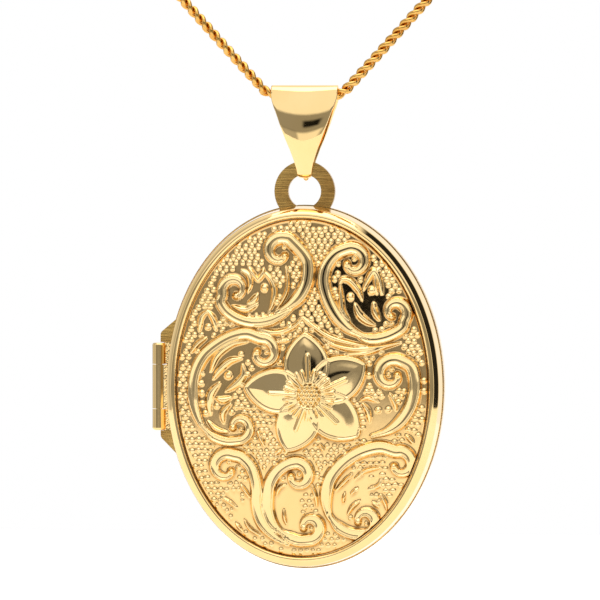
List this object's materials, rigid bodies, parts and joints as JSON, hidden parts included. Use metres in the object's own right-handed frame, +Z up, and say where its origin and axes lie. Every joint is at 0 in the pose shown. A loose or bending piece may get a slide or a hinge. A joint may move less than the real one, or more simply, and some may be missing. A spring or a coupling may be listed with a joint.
{
  "type": "locket",
  "caption": "Oval hinged locket with an embossed floral front, hanging from a tapered bail on a short taut stretch of curb chain with its clasp.",
  "frame": {"origin": "where the chain's axis crosses the middle of the bail's top bend", "axes": "+Z up when the locket hangs, +Y to the plain back, -Y to the embossed front, +X to the opening side"},
  "size_m": [0.0356, 0.0059, 0.0586],
  "materials": {
    "polished_gold": "mirror polish, thin wear on edges",
    "embossed_gold": "polished raised work on a beaded ground",
    "brushed_gold": "fine straight brushing",
    "chain_gold": "polished, diamond cut faces",
    "spring_steel": "drawn wire",
    "clear_window": "clear acetate sheet",
    "photo_paper": "blank satin photographic paper"
  },
  "bodies": {
    "chain": {"chain": "chain_gold", "left_jump_ring": "chain_gold", "right_jump_ring": "chain_gold", "clasp_ring": "chain_gold", "clasp_loop": "chain_gold", "clasp_spring": "spring_steel", "end_tag": "chain_gold"},
    "clasp_bolt": {"clasp_bolt": "chain_gold"},
    "bail": {"bail": "polished_gold", "bail_solder_bead": "polished_gold"},
    "back_half": {"loop_plate": "brushed_gold", "back_cover": "polished_gold", "snap_rim": "polished_gold", "back_hinge_knuckles": "polished_gold", "hinge_pin": "polished_gold", "back_photo_tray": "polished_gold", "back_photo_card": "photo_paper", "back_photo_window": "clear_window", "back_photo_frame": "polished_gold"},
    "front_half": {"front_rim": "polished_gold", "front_panel": "embossed_gold", "front_hinge_knuckle": "polished_gold", "front_photo_tray": "polished_gold", "front_photo_card": "photo_paper", "front_photo_window": "clear_window", "front_photo_frame": "polished_gold"}
  },
  "joints": [
    {"name": "bail_swing", "type": "hinge", "parent": "chain", "child": "bail", "pos_m": [0, 0, 0], "axis": [1, 0, 0], "range_deg": [-90, 90]},
    {"name": "locket_swing", "type": "hinge", "parent": "bail", "child": "back_half", "pos_m": [0, 0, -0.00673], "axis": [1, 0, 0], "range_deg": [-30, 30]},
    {"name": "cover_hinge", "type": "hinge", "parent": "back_half", "child": "front_half", "pos_m": [-0.01313, -0.00032, -0.0261], "axis": [0, 0, -1], "range_deg": [0, 180]},
    {"name": "bolt_slide", "type": "hinge", "parent": "chain", "child": "clasp_bolt", "pos_m": [-0.01558, 0, 0.01354], "axis": [0, 1, 0], "range_deg": [0, 48], "stiffness_Nm_per_rad": 0.002, "springref_deg": -20.05}
  ]
}
